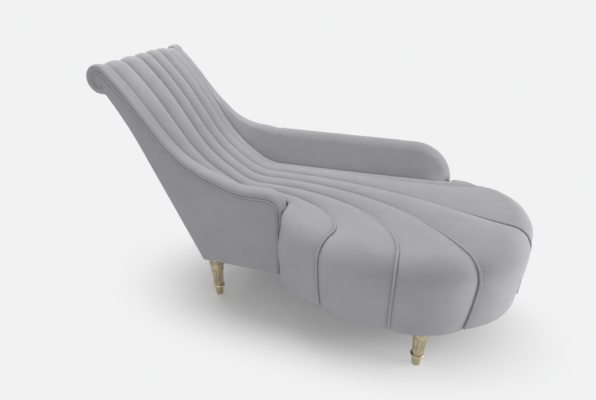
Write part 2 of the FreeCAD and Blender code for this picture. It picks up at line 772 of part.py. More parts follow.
for title, top_run in (("rail_middle", seat_run - size("rail_middle_below")),
                       ("rail_upper", seat_run + size("rail_upper_above"))):
    feature(title, rail(top_run - size("rail_height"), top_run))
rod = primitive("Part::Cylinder", "scroll_rod", {
    "Radius": "<scroll_rod_radius>",
    "Height": "<body_width> - 2 * (<panel_thickness> + <frame_board> + 2 * <clearance>)"})
rod.Placement = Placement(point(near_side, *scroll_centre) + shift,
                          Rotation(point(0, 0, 1), point(1, 0, 0)))
nodes.append(rod)
struts = []
strut_cells = (("near", "<strut_near_x>"), ("far", "<body_width> - <strut_far_inset>"))
for side, strut_x in strut_cells:
    for rank in range(3):
        struts.append(primitive(
            "Part::Box", "strut_%s_%d" % (side, rank + 1),
            {"Length": "<strut_side>", "Width": "<strut_side>",
             "Height": "%g" % (deck_bottom - frame_floor - gap)},
            (strut_x + " - <strut_side> / 2 - <origin_x>",
             "<strut_first_y> - %d * <strut_pitch> - <strut_side> / 2 - <origin_y>" % rank,
             "%g" % frame_floor)))
group("deck_struts", struts)

# One leg on the floor at the origin, and what is cut out of it
top = "<underside_height> - <clearance>"
leg_parts = [
    primitive("Part::Cone", "leg_toe", {
        "Radius1": "<leg_toe_radius>", "Radius2": "<leg_foot_radius>",
        "Height": "<leg_ring_height> - <glide_height>"}, ("0", "0", "<glide_height>")),
    primitive("Part::Torus", "leg_ring", {
        "Radius1": "<leg_ring_radius> - <leg_ring_tube>", "Radius2": "<leg_ring_tube>"},
        ("0", "0", "<leg_ring_height>")),
    primitive("Part::Cone", "leg_taper", {
        "Radius1": "<leg_taper_bottom>", "Radius2": "<leg_taper_top>",
        "Height": "<leg_neck_height> - <leg_ring_height>"},
        ("0", "0", "<leg_ring_height>")),
    primitive("Part::Cylinder", "leg_collar", {
        "Radius": "<leg_cap_radius> - <leg_cap_tube>",
        "Height": top + " - <leg_neck_height>"}, ("0", "0", "<leg_neck_height>")),
    primitive("Part::Cylinder", "leg_top", {
        "Radius": "<leg_top_radius>", "Height": "<leg_top_height>"},
        ("0", "0", top + " - <leg_top_height>"))]
for level in ("low", "high"):
    leg_parts.append(primitive("Part::Torus", "leg_cap_ring_" + level, {
        "Radius1": "<leg_cap_radius> - <leg_cap_tube>", "Radius2": "<leg_cap_tube>"},
        ("0", "0", "<leg_cap_%s>" % level)))
leg_blank = doc.addObject("Part::MultiFuse", "leg_blank")
leg_blank.Shapes = leg_parts


def taper_radius(z):
    share = (z - size("leg_ring_height")) / (size("leg_neck_height") - size("leg_ring_height"))
    return blend(size("leg_taper_bottom"), size("leg_taper_top"), share)


leg_cutters = [primitive("Part::Cylinder", "leg_bore", {
    "Radius": "<stud_radius> + <screw_fit>", "Height": "<stud_below> + <clearance>"},
    ("0", "0", "<underside_height> - <stud_below> - <clearance>"))]
flute_low = point(taper_radius(size("flute_low")) + size("flute_out"), 0, size("flute_low"))
flute_high = point(taper_radius(size("flute_high")) + size("flute_out"), 0,
                   size("flute_high"))
flute_run = flute_high - flute_low
for number in range(int(size("flute_count"))):
    turn = Rotation(point(0, 0, 1), 360.0 * (number + 0.5) / size("flute_count"))
    groove = primitive("Part::Cone", "flute_%d" % (number + 1), {
        "Radius1": "<flute_low_radius>", "Radius2": "<flute_high_radius>"})
    groove.Height = flute_run.Length
    groove.Placement = Placement(turn.multVec(flute_low),
                                 turn.multiply(Rotation(point(0, 0, 1), flute_run)))
    leg_cutters.append(groove)
    for end, spot in (("low", flute_low), ("high", flute_high)):
        ball = primitive("Part::Sphere", "flute_%d_%s" % (number + 1, end),
                         {"Radius": "<flute_%s_radius>" % end})
        ball.Placement = Placement(turn.multVec(spot), Rotation())
        leg_cutters.append(ball)
leg_void = doc.addObject("Part::MultiFuse", "leg_void")
leg_void.Shapes = leg_cutters

# Four legs with their glides, studs, plates and screws
glides, studs, plates, holes, screws = [], [], [], [], []
plate_floor = "<underside_height> + <cover_thickness> + <clearance>"
for number, name in enumerate(leg_names):
    x, y = [part + " - <origin_%s>" % axis for part, axis in zip(leg_cells[number], "xy")]
    leg = doc.addObject("Part::Cut", name)
    leg.Label = name
    leg.Base = leg_blank
    leg.Tool = leg_void
    leg.setExpression("Placement.Base.x", cell(x))
    leg.setExpression("Placement.Base.y", cell(y))
    nodes.append(leg)
    tag = "_%d" % (number + 1)
    glides.append(primitive("Part::Cylinder", "glide" + tag, {
        "Radius": "<glide_radius>", "Height": "<glide_height>"}, (x, y, "0")))
    studs.append(primitive("Part::Cylinder", "stud" + tag, {
        "Radius": "<stud_radius>",
        "Height": "<stud_below> + <cover_thickness> + <deck_board>"},
        (x, y, "<underside_height> - <stud_below>")))
    plates.append(primitive("Part::Box", "plate" + tag, {
        "Length": "<plate_side>", "Width": "<plate_side>", "Height": "<plate_thickness>"},
        (x + " - <plate_side> / 2", y + " - <plate_side> / 2", plate_floor)))
    holes.append(primitive("Part::Cylinder", "stud_hole" + tag, {
        "Radius": "<stud_radius> + <screw_fit>", "Height": "<plate_thickness>"},
        (x, y, plate_floor)))
    for rank, (sign_x, sign_y) in enumerate(screw_signs):
        spot = (x + " + %d * <screw_spread>" % sign_x, y + " + %d * <screw_spread>" % sign_y,
                plate_floor)
        tip = tag + "_%d" % (rank + 1)
        holes.append(primitive("Part::Cylinder", "screw_hole" + tip, {
            "Radius": "<screw_radius> + <screw_fit>", "Height": "<plate_thickness>"}, spot))
        holes.append(primitive("Part::Cone", "head_hole" + tip, {
            "Radius1": "<screw_head_radius> + <screw_fit>",
            "Radius2": "<screw_radius> + <screw_fit>",
            "Height": "<screw_head_height> + <screw_fit>"}, spot))
        screws.append(primitive("Part::Cylinder", "screw_shank" + tip, {
            "Radius": "<screw_radius>", "Height": "<screw_length>"}, spot))
        screws.append(primitive("Part::Cone", "screw_head" + tip, {
            "Radius1": "<screw_head_radius>", "Radius2": "<screw_radius>",
            "Height": "<screw_head_height>"}, spot))
group("leg_glides", glides)
group("leg_studs", studs)
plate_blank = doc.addObject("Part::Compound", "plate_blank")
plate_blank.Links = plates
plate_void = doc.addObject("Part::MultiFuse", "plate_void")
plate_void.Shapes = holes
leg_plates = doc.addObject("Part::Cut", "leg_plates")
leg_plates.Label = "leg_plates"
leg_plates.Base = plate_blank
leg_plates.Tool = plate_void
nodes.append(leg_plates)
plate_screws = doc.addObject("Part::MultiFuse", "plate_screws")
plate_screws.Label = "plate_screws"
plate_screws.Shapes = screws
nodes.append(plate_screws)

doc.recompute()
os.makedirs("parts", exist_ok=True)
for item in doc.Objects:
    if "Invalid" in item.State or "Error" in item.State:
        raise RuntimeError("%s did not compute" % item.Label)
for item in nodes:
    if item.Shape.isNull() or not item.Shape.isValid():
        raise RuntimeError("%s has no valid shape" % item.Label)
for item in nodes:
    item.Shape.exportStep("parts/%s.step" % item.Label)
print(len(nodes), "pieces written")
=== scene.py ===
import bpy
import json
import math
import numpy as np
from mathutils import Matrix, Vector


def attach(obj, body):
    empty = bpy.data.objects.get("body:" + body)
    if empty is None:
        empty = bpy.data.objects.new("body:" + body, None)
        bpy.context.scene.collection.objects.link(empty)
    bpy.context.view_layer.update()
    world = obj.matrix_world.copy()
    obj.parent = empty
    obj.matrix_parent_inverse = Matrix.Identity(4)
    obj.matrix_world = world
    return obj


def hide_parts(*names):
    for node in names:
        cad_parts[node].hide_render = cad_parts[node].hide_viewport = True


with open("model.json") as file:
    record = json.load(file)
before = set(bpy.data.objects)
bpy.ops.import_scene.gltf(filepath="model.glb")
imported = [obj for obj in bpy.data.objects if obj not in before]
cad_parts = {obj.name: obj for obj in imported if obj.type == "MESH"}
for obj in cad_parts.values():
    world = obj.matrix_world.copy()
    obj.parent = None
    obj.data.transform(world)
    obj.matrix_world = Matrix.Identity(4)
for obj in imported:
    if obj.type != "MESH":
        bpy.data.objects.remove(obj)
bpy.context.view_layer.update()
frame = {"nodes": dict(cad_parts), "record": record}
nodes = frame["nodes"]
rng = np.random.default_rng(11)
print("frame loaded")

# Lengths in metres. The near rear bottom corner of the body is (0, 0) before bodyShift.
bodyShift = np.array([-0.1689, 0.3895, 0.0])
body = {
    "width": 0.525, "underside": 0.190, "seat": 0.448, "rear": -0.180,
    "board": 0.0352, "scrollRadius": 0.038, "fanEvery": 0.006,
}
seams = {
    "crest": [0.052, 0.142, 0.228, 0.293, 0.360, 0.422, 0.473],  # across the top of the back
    "across": [0.112, 0.150, 0.206, 0.266, 0.326, 0.383, 0.413],  # across the seat
    "around": [0.0, 0.215, 0.461, 0.713, 1.013, 1.423, 1.529],  # along the foot outline
    "leave": [0.10, 0.24, 0.33, 0.44, 0.52, 0.42, 0.42],  # handle at the back of the seat
    "arrive": [0.05, 0.10, 0.18, 0.20, 0.15, 0.04, 0.01],  # handle at the foot edge
    "edgeRadius": 0.065, "noseEdgeRadius": 0.034,
    "tuck": [0.0, 0.020, 0.020, 0.018, 0.0, -0.010, -0.008],  # how far the hem draws in
    "hug": (-0.006, 0.022), "backEnd": 0.200, "evenOut": 4,
}
counts = {"scroll": 64, "back": 150, "fan": 170, "edge": 24, "wall": 48, "front": 60}


def walk(start, heading, steps):
    # Straight runs (length, 0) and arcs (radius, turn): an arc's point is its start plus
    # radius times the change of sine and cosine of the heading.
    runs, us, vs, angles, begins = [], [], [], [], []
    u, v, angle, done = start[0], start[1], math.radians(heading), 0.0
    share = np.linspace(0.0, 1.0, 181)
    for extent, turn in steps:
        begins.append(done)
        if turn == 0:
            length = extent
            nowAngle = np.full(share.size, angle)
            nowU = u + share * length * math.cos(angle)
            nowV = v + share * length * math.sin(angle)
        else:
            side = math.copysign(1.0, turn)
            length = extent * abs(math.radians(turn))
            nowAngle = angle + share * math.radians(turn)
            nowU = u + side * extent * (np.sin(nowAngle) - math.sin(angle))
            nowV = v - side * extent * (np.cos(nowAngle) - math.cos(angle))
        runs.append(done + share * length)
        us.append(nowU)
        vs.append(nowV)
        angles.append(nowAngle)
        u, v, angle, done = nowU[-1], nowV[-1], nowAngle[-1], done + length
    return {"run": np.concatenate(runs), "u": np.concatenate(us), "v": np.concatenate(vs),
            "angle": np.concatenate(angles), "begins": begins, "length": done}


def along(path, run):
    # The path's two coordinates and heading at a length along it.
    return [np.interp(run, path["run"], path[key]) for key in ("u", "v", "angle")]


def smooth(value, low, high):
    # From 0 to 1 between low and high: share squared times three less twice the share.
    share = np.clip((value - low) / (high - low), 0.0, 1.0)
    return share * share * (3.0 - 2.0 * share)


def blend(first, second, share):
    # The first value plus that share of the way to the second.
    return first + (second - first) * share


def stack(x, y, z):
    # Points whose last axis is x, y, z.
    return np.stack(np.broadcast_arrays(x, y, z), axis=-1)


def soften(points, reach):
    # Evens out a grid along its second axis with a bell of that many samples each way.
    weights = np.exp(-0.5 * (np.arange(-reach, reach + 1) / (0.5 * reach)) ** 2)
    weights /= weights.sum()
    padded = np.concatenate([2 * points[:, :1] - points[:, reach:0:-1], points,
                             2 * points[:, -1:] - points[:, -2:-reach - 2:-1]], axis=1)
    count = points.shape[1]
    return sum(weight * padded[:, step:step + count] for step, weight in enumerate(weights))


def ripple(first, second, scale, count=9):
    # Sum of sine waves in random directions, between about -1 and 1.
    total = 0.0
    for wave in range(count):
        turn = rng.uniform(0.0, 2.0 * math.pi)
        pitch = rng.uniform(0.6, 1.7) * 2.0 * math.pi / scale
        phase = rng.uniform(0.0, 2.0 * math.pi)
        total = total + np.sin(pitch * (first * math.cos(turn) + second * math.sin(turn))
                               + phase)
    return total / math.sqrt(2.0 * count)


profile = walk((body["rear"], body["seat"]), 0.0, [
    (0.200, 30), (0.046, 0), (0.431, 26), (0.129, 0), (0.883, -12),
    (body["scrollRadius"], -248)])
scrollRun = profile["begins"][5]
outline = walk((0.005, -0.338), 190.4, [(0.154, 48.6), (0.600, 31), (0.420, 90), (0.270, 90)])
backRuns = np.concatenate([
    np.linspace(profile["length"], scrollRun, counts["scroll"])[:-1],
    np.linspace(scrollRun, 0.0, counts["back"])[:-1]])
fanShares = np.linspace(0.0, 1.0, counts["fan"])[:-1]
edgeAngles = np.linspace(0.0, math.pi / 2, counts["edge"])[:-1]
wallShares = np.linspace(0.0, 1.0, counts["wall"])
parts = np.cumsum([0, backRuns.size, fanShares.size, edgeAngles.size, wallShares.size])
stationCount = int(parts[-1])


def table(place, key):
    # A seam's tabled value, linear between seams 0 to 6.
    return np.interp(place, np.arange(7), seams[key])


def seamAcross(place, y):
    # Seams stand closer at the seat than at the crest and spread smoothly up the back.
    share = smooth(y, body["rear"], seams["backEnd"])
    return blend(table(place, "across"), table(place, "crest"), share)


def fanHandles(place):
    # Each seam's cubic curve over the seat: straight forwards from the back, and square to
    # the foot outline where it ends, one edge radius inside it.
    bx, by, heading = along(outline, np.minimum(table(place, "around"), outline["length"]))
    first = smooth(place, 0.0, 1.0)
    side = blend(math.pi, heading - math.pi / 2, first)
    away = stack(np.cos(side), np.sin(side), 0.0)
    radius = blend(seams["noseEdgeRadius"], seams["edgeRadius"], first)[..., None]
    start = stack(table(place, "across"), body["rear"], body["seat"])
    end = stack(bx, by, body["seat"]) - away * radius
    leave = start - stack(0.0, table(place, "leave"), 0.0)
    arrive = end - away * table(place, "arrive")[..., None]
    return start, leave, arrive, end, away, radius, first


def bezier(start, leave, arrive, end, share):
    # Cubic curve: each handle weighs as its power of the share and of what is left.
    rest = 1.0 - share
    return (start * rest ** 3 + leave * 3 * rest * rest * share
            + arrive * 3 * rest * share * share + end * share ** 3)


def seamSurface(place):
    # place (across, along) may fall between seams. Four stretches, head to foot: the side
    # profile, a cubic curve over the seat, a quarter round, and the wall down to the hem.
    spots = np.zeros(place.shape + (3,))
    outs = np.zeros(place.shape + (3,))
    cut = slice(parts[0], parts[1])
    y, z, angle = along(profile, backRuns)
    spots[:, cut] = stack(seamAcross(place[:, cut], y), y, z)
    outs[:, cut] = stack(0.0, -np.sin(angle), np.cos(angle) + 0 * place[:, cut])
    cut = slice(parts[1], parts[2])
    start, leave, arrive, end = fanHandles(place[:, cut])[:4]
    spots[:, cut] = bezier(start, leave, arrive, end, fanShares[None, :, None])
    outs[:, cut] = (0.0, 0.0, 1.0)
    cut = slice(parts[2], parts[3])
    end, away, radius = fanHandles(place[:, cut])[3:6]
    out = away * np.sin(edgeAngles)[None, :, None] + stack(0.0, 0.0, np.cos(edgeAngles))
    spots[:, cut] = end - (0.0, 0.0, 1.0) * radius + out * radius
    outs[:, cut] = out
    cut = slice(parts[3], parts[4])
    end, away, radius, first = fanHandles(place[:, cut])[3:]
    first = first[..., None]
    face = end - (0.0, 0.0, 1.0) * radius + away * radius
    share = wallShares[None, :, None]
    drop = (face[..., 2:] - body["underside"]) * share * np.array([0.0, 0.0, 1.0])
    hug = np.array(seams["hug"] + (0.0,))
    tuck = table(place[:, cut], "tuck")[..., None]
    spots[:, cut] = (face - drop - away * tuck * share * share
                     + hug * (1.0 - first) * smooth(share, 0.0, 0.5))
    outs[:, cut] = away
    spots = soften(spots, seams["evenOut"])
    outs = soften(outs, seams["evenOut"])
    return spots, outs / np.linalg.norm(outs, axis=-1, keepdims=True)


def gridPiece(name, rows, material, replaced):
    # rows (along, around, 3) closed round each row, with a fan of triangles at each end.
    rows = rows + bodyShift
    alongCount, aroundCount = rows.shape[:2]
    middles = rows[[0, -1]].mean(axis=1)
    verts = np.concatenate([rows.reshape(-1, 3), middles])
    index = np.arange(alongCount * aroundCount).reshape(alongCount, aroundCount)
    nextOver = np.roll(index, -1, axis=1)
    quads = np.stack([index[:-1], nextOver[:-1], nextOver[1:], index[1:]], -1).reshape(-1, 4)
    fans = []
    for end, row in enumerate((0, -1)):
        middle = np.full(aroundCount, alongCount * aroundCount + end)
        pair = (nextOver[row], index[row]) if end == 0 else (index[row], nextOver[row])
        fans.append(np.stack([pair[0], pair[1], middle], -1))
    fans = np.concatenate(fans)
    a, b, c, d = [verts[quads[:, k]] for k in range(4)]
    volume = np.einsum("ij,ij->", a, np.cross(b, c)) + np.einsum("ij,ij->", a, np.cross(c, d))
    if volume < 0:
        quads, fans = quads[:, ::-1], fans[:, ::-1]
    mesh = bpy.data.meshes.new(name)
    mesh.vertices.add(len(verts))
    mesh.vertices.foreach_set("co", verts.ravel())
    corners = np.concatenate([quads.ravel(), fans.ravel()]).astype(np.int32)
    totals = np.concatenate([np.full(len(quads), 4), np.full(len(fans), 3)])
    starts = np.concatenate([[0], np.cumsum(totals)[:-1]]).astype(np.int32)
    mesh.loops.add(len(corners))
    mesh.loops.foreach_set("vertex_index", corners)
    mesh.polygons.add(len(totals))
    mesh.polygons.foreach_set("loop_start", starts)
    flags = np.concatenate([np.ones(len(quads), bool), np.zeros(len(fans), bool)])
    mesh.update(calc_edges=True)
    mesh.validate()
    mesh.polygons.foreach_set("use_smooth", flags)
    mesh.materials.append(material)
    piece = bpy.data.objects.new(name, mesh)
    bpy.context.scene.collection.objects.link(piece)
    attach(piece, "root")
    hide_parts(*replaced)
    return piece


def newMaterial(name):
    # A node material with its tree and its main shader.
    material = bpy.data.materials.new(name)
    material.use_nodes = True
    tree = material.node_tree
    return material, tree, tree.nodes["Principled BSDF"]


def addNode(tree, kind, settings=None, inputs=None):
    # Inputs that are sockets are linked, the others are set as values.
    node = tree.nodes.new(kind)
    for key, value in (settings or {}).items():
        setattr(node, key, value)
    for key, value in (inputs or {}).items():
        if isinstance(value, bpy.types.NodeSocket):
            tree.links.new(value, node.inputs[key])
        else:
            node.inputs[key].default_value = value
    return node


def ramp(tree, source, low, high, lowColor, highColor):
    # The first colour up to low, the second from high, and a straight mix between.
    node = addNode(tree, "ShaderNodeValToRGB", inputs={"Fac": source})
    ends = node.color_ramp.elements
    ends[0].position, ends[1].position = low, high
    ends[0].color, ends[1].color = lowColor + (1.0,), highColor + (1.0,)
    return node.outputs["Color"]


velvetLook = {
    "dark": (0.372, 0.366, 0.388), "light": (0.412, 0.406, 0.430), "patch": 6.0,
    "streak": 30.0, "pile": 900.0, "roughness": 0.85, "sheen": 0.22, "sheenRoughness": 0.4,
    "bump": 0.35,
}


def makeVelvet(name, look):
    # Brushed nap: broad soft patches, short streaks and a fine pile, all in object space.
    material, tree, shader = newMaterial(name)
    spot = addNode(tree, "ShaderNodeTexCoord").outputs["Object"]
    patch = addNode(tree, "ShaderNodeTexNoise", inputs={
        "Vector": spot, "Scale": look["patch"], "Detail": 3.0, "Roughness": 0.55,
        "Distortion": 0.6}).outputs["Fac"]
    stretched = addNode(tree, "ShaderNodeMapping", inputs={
        "Vector": spot, "Scale": (1.0, 0.35, 0.5)}).outputs["Vector"]
    streak = addNode(tree, "ShaderNodeTexNoise", inputs={
        "Vector": stretched, "Scale": look["streak"], "Detail": 4.0, "Roughness": 0.6,
        "Distortion": 1.2}).outputs["Fac"]
    pile = addNode(tree, "ShaderNodeTexNoise", inputs={
        "Vector": spot, "Scale": look["pile"], "Detail": 2.0, "Roughness": 0.7})
    mixed = addNode(tree, "ShaderNodeMath", {"operation": "MULTIPLY_ADD"}, {
        0: streak, 1: 0.45, 2: 0.0}).outputs[0]
    total = addNode(tree, "ShaderNodeMath", {"operation": "MULTIPLY_ADD"}, {
        0: patch, 1: 0.55, 2: mixed}).outputs[0]
    tint = ramp(tree, total, 0.36, 0.64, look["dark"], look["light"])
    speck = ramp(tree, pile.outputs["Fac"], 0.3, 0.7, (0.86, 0.86, 0.86), (1.06, 1.06, 1.06))
    color = addNode(tree, "ShaderNodeMix", {"data_type": "RGBA", "blend_type": "MULTIPLY"},
                    {"Factor": 1.0, "A": tint, "B": speck})
    tree.links.new(color.outputs["Result"], shader.inputs["Base Color"])
    bump = addNode(tree, "ShaderNodeBump", inputs={
        "Strength": look["bump"], "Distance": 0.0006, "Height": pile.outputs["Fac"]})
    soft = addNode(tree, "ShaderNodeBump", inputs={
        "Strength": 0.25, "Distance": 0.0010, "Height": streak, "Normal": bump.outputs[0]})
    tree.links.new(soft.outputs["Normal"], shader.inputs["Normal"])
    shader.inputs["Roughness"].default_value = look["roughness"]
    shader.inputs["Sheen Weight"].default_value = look["sheen"]
    shader.inputs["Sheen Roughness"].default_value = look["sheenRoughness"]
    return material


velvet = makeVelvet("velvetGrey", velvetLook)
weltCloth = makeVelvet("weltCloth", dict(
    velvetLook, dark=(0.385, 0.380, 0.398), light=(0.435, 0.429, 0.448), patch=24.0,
    streak=120.0, bump=0.5))

channelLook = {
    "samples": 33, "backCrown": 0.0150, "seatCrown": 0.0170, "wallCrown": 0.0175,
    "hemCrown": 0.010, "crownShare": 0.24, "fullness": 2.2, "edgeSteep": 0.80,
    "crownScale": [1.0, 1.0, 1.0, 1.0, 0.85, 0.25], "seamSink": 0.0032,
    "armSide": 9.0, "armPress": (-0.010, 0.016, 0.0), "pressShare": 0.4,
    "pressIn": (-70, 4), "pressOut": (4, 34), "backBlend": (0.02, 0.17),
    "unevenScale": 0.11, "driftScale": 0.09, "puckerReach": 0.006, "puff": 0.25,
    "pad": 0.0295, "seamGap": 0.0005, "unevenness": 0.0007, "pucker": 0.00035,
    "puckerPitch": 0.017,
}


def crownAlong():
    # Height of a channel over its seams at each station.
    look = channelLook
    y = along(profile, backRuns)[0]
    return np.concatenate([
        blend(look["seatCrown"], look["backCrown"], smooth(backRuns, *look["backBlend"])) + 0 * y,
        blend(look["seatCrown"], look["wallCrown"], smooth(fanShares, 0.0, 1.0)),
        np.full(edgeAngles.size, look["wallCrown"]),
        blend(look["wallCrown"], look["hemCrown"], smooth(wallShares, 0.0, 1.0))])


def makeChannel(number):
    # A channel rises off its seams by the crown times (1 less the distance from its middle
    # to the power of fullness), all to the power of edgeSteep, with waves and puckers.
    look = channelLook
    share = 0.5 - 0.5 * np.cos(np.linspace(0.0, math.pi, look["samples"]))[:, None]
    sides = seamSurface(number + np.array([[0.0], [1.0]]) + np.zeros((2, stationCount)))[0]
    width = np.linalg.norm(sides[1] - sides[0], axis=-1)[None, :]
    trim = look["seamGap"] / width
    spots, outs = seamSurface(number + trim + (1.0 - 2.0 * trim) * share)
    lengths = np.linalg.norm(np.diff(spots[len(spots) // 2], axis=0), axis=-1)
    run = np.concatenate([[0.0], np.cumsum(lengths)])[None, :]
    crown = np.minimum(crownAlong()[None, :], look["crownShare"] * width)
    crown = crown * look["crownScale"][number]
    fullness = look["fullness"] + np.zeros((share.size, stationCount))
    if number == 0:  # the first pad stays full where it meets the near arm
        station = np.arange(stationCount)
        low = smooth(station, parts[2] + look["pressIn"][0], parts[2] + look["pressIn"][1])
        fullness = blend(fullness, look["armSide"], low * (share < 0.5))
        press = low * (1.0 - smooth(station, parts[3] + look["pressOut"][0],
                                    parts[3] + look["pressOut"][1]))
        press = press * np.clip(1.0 - share / look["pressShare"], 0.0, 1.0) ** 2
        spots = spots + press[..., None] * np.array(look["armPress"])
    rise = (1.0 - np.abs(2.0 * share - 1.0) ** fullness) ** look["edgeSteep"]
    across = (share - 0.5) * width
    uneven = look["unevenness"] * ripple(across, run, look["unevenScale"]) * rise
    toSeam = np.minimum(share, 1.0 - share) * width
    drift = 1.5 * ripple(run, run * 0, look["driftScale"])
    wave = np.sin(2.0 * math.pi * (run / look["puckerPitch"]) + drift)
    near = (toSeam - look["puckerReach"]) / look["puckerReach"]
    pucker = look["pucker"] * wave * np.exp(-near ** 2)
    lift = crown * rise + uneven + pucker - look["seamSink"] * look["crownScale"][number]
    outer = spots + outs * lift[..., None]
    inner = spots - outs * (look["pad"] - look["puff"] * crown * rise)[..., None]
    rows = np.concatenate([outer, inner[::-1]]).transpose(1, 0, 2)
    return gridPiece("channelPad%d" % (number + 1), rows, velvet,
                     ["channel_%d" % (number + 1)])


for number in range(6):
    makeChannel(number)
print("channels made")


def cordPiece(name, spots, outs, radius, replaced, sides=12):
    # Round cord: a circle of the radius carried along the points, square to the path.
    tangents = np.gradient(spots, axis=0)
    tangents /= np.linalg.norm(tangents, axis=-1, keepdims=True)
    across = np.cross(tangents, outs)
    across /= np.linalg.norm(across, axis=-1, keepdims=True)
    up = np.cross(across, tangents)
    turn = np.linspace(0.0, 2.0 * math.pi, sides, endpoint=False)[None, :, None]
    radius = np.broadcast_to(radius, spots.shape[0])[:, None, None]
    rows = (spots[:, None] + radius * np.cos(turn) * across[:, None]
            + radius * np.sin(turn) * up[:, None])
    return gridPiece(name, rows, weltCloth, replaced)


weltLook = {"radius": 0.0040, "backLift": -0.0062, "liftFrom": 40, "liftTo": 12, "trim": 2,
            "wallLift": [0.0018, 0.0018, 0.0018, 0.0014, -0.0036]}
for number in range(1, 6):
    spots, outs = seamSurface(np.full((1, stationCount), float(number)))
    station = np.arange(stationCount)
    lift = blend(weltLook["backLift"], weltLook["wallLift"][number - 1],
                 smooth(station, parts[1] + weltLook["liftFrom"],
                        parts[2] + weltLook["liftTo"]))
    kept = slice(0, stationCount - weltLook["trim"])
    spots, outs, lift = spots[0, kept], outs[0, kept], lift[kept, None]
    cordPiece("seamCord%d" % number, spots + outs * lift, outs,
              weltLook["radius"], ["seam_welt_%d" % number])
print("seam cords made")

wingShared = {
    "backCrown": 0.014, "armCrown": 0.025, "noseCrown": 0.019,
    "frontCrown": 0.003, "spiral": 0.029, "band": 0.018, "seamDepth": 0.014,
    "intoScroll": 0.040, "thinFrom": 0.07, "thinBy": 0.30, "noseUp": 0.004, "footUp": 0.001,
    "noseInset": 0.002, "edgeX": 0.0005, "pinch": 0.0006, "lowest": -0.030, "topRows": 24,
    "uneven": 0.0008, "unevenScale": 0.12, "evenOut": 3,
    "backAcross": (0.014, 0.042, 0.0165), "scrollAcross": (0.012, 0.044, 0.017),
}
wings = {
    "near": {"drop": 0.007, "rise": 0.044, "nose": 0.045, "start": 0.190, "end": -0.130,
             "across": (0.030, 0.064, 0.010), "front": -0.310, "roll": 0.024, "seam": 0},
    "far": {"drop": 0.021, "rise": 0.100, "nose": 0.135, "start": 0.195, "end": -0.150,
            "across": (0.024, 0.060, -0.002), "front": -0.855, "roll": 0.018, "seam": 6},
}


panelLook = {
    "behind": 0.0126, "thick": 0.0118, "face": 0.0004, "under": 0.0006, "swell": 0.0028,
    "swellReach": 0.050, "uneven": 0.0005, "unevenScale": 0.16, "unevenReach": 0.03,
    "samples": 33,
}
backLook = {
    "rake": 65.8, "straight": 0.480, "aimTurn": -115.0, "aimRadius": 0.050, "points": 120,
    "samples": 41, "swell": 0.0035, "swellReach": 0.05, "uneven": 0.0005,
    "unevenScale": 0.18, "width": 0.5, "height": 0.68,
}


def wingRows(side):
    # Columns of the path y, z, its normal, and in that plane the welt edge, the crown, the
    # inner shoulder and the seam, from the scroll down the back and arm to the arm front.
    wing, shared = wings[side], wingShared
    y, z, angle = along(profile, backRuns)
    arm = 1.0 - smooth(y, wing["end"], wing["start"])
    roll = smooth(backRuns, scrollRun, scrollRun + shared["intoScroll"])
    drop = blend(wing["drop"], body["scrollRadius"] - shared["spiral"], roll)
    top = blend(shared["backCrown"], wing["roll"], roll)
    thin = smooth(backRuns, scrollRun + shared["thinFrom"], profile["length"])
    top = top * (1.0 - shared["thinBy"] * thin)
    edge = blend(-drop, wing["rise"], arm)
    upper = [blend(a, b, roll) for a, b in zip(shared["backAcross"], shared["scrollAcross"])]
    crownX, innerX, innerUp = [blend(a, b, arm) for a, b in zip(upper, wing["across"])]
    back = [y, z, -np.sin(angle), np.cos(angle), edge, crownX,
            edge + blend(top, shared["armCrown"], arm), innerX, edge + innerUp,
            seamAcross(wing["seam"], y), 0 * y]
    centreY = wing["front"] + wing["nose"]
    centreZ = body["seat"] + wing["rise"] - wing["nose"]
    count = int(max(12, abs(body["rear"] - centreY) / body["fanEvery"]))
    y = np.linspace(body["rear"], centreY, count)[:-1]
    place = np.array([float(wing["seam"])])
    start, leave, arrive, end = fanHandles(place)[:4]
    curve = bezier(start, leave, arrive, end, np.linspace(0.0, 1.0, 300)[:, None])
    seamX = np.interp(-y, -curve[:, 1], curve[:, 0])
    one = np.ones(y.size)
    level = [y, body["seat"] * one, 0 * one, one, wing["rise"] * one,
             wing["across"][0] * one, (wing["rise"] + shared["armCrown"]) * one,
             wing["across"][1] * one, (wing["rise"] + wing["across"][2]) * one, seamX, 0 * one]
    turn = np.linspace(0.0, math.pi / 2, 40)[:-1]
    share = turn / (math.pi / 2)
    full = wing["nose"] + wing["across"][2] - shared["noseInset"]
    reach = (body["seat"] - centreZ) / np.maximum(np.cos(turn), 0.05)
    reach = np.minimum(np.maximum(reach, full * smooth(share, 0.3, 1.0)), full)
    y = centreY - reach * np.sin(turn)
    one = np.ones(turn.size)
    seamX = np.interp(-y, -curve[:, 1], curve[:, 0])
    nose = [centreY * one, centreZ * one, -np.sin(turn), np.cos(turn), wing["nose"] * one,
            wing["across"][0] * one,
            wing["nose"] + blend(shared["armCrown"], shared["noseCrown"], share),
            wing["across"][1] * one,
            wing["nose"] + blend(wing["across"][2], shared["noseUp"], share), seamX, reach]
    share = np.linspace(0.0, 1.0, counts["front"])
    one = np.ones(share.size)
    down = [centreY * one, blend(centreZ, body["underside"], share), -one, 0 * one,
            wing["nose"] * one, wing["across"][0] * one,
            wing["nose"] + blend(shared["noseCrown"], shared["frontCrown"],
                                 smooth(share, 0.0, 0.45)),
            wing["across"][1] * one,
            wing["nose"] + blend(shared["noseUp"], shared["footUp"], share),
            seamX[-1] * one, reach[-1] * one]
    rows = [np.concatenate([np.broadcast_to(piece, group[0].shape) for group, piece in
                            zip((back, level, nose, down), column)])
            for column in zip(back, level, nose, down)]
    if side == "far":
        rows[9] = body["width"] - rows[9]
    return rows


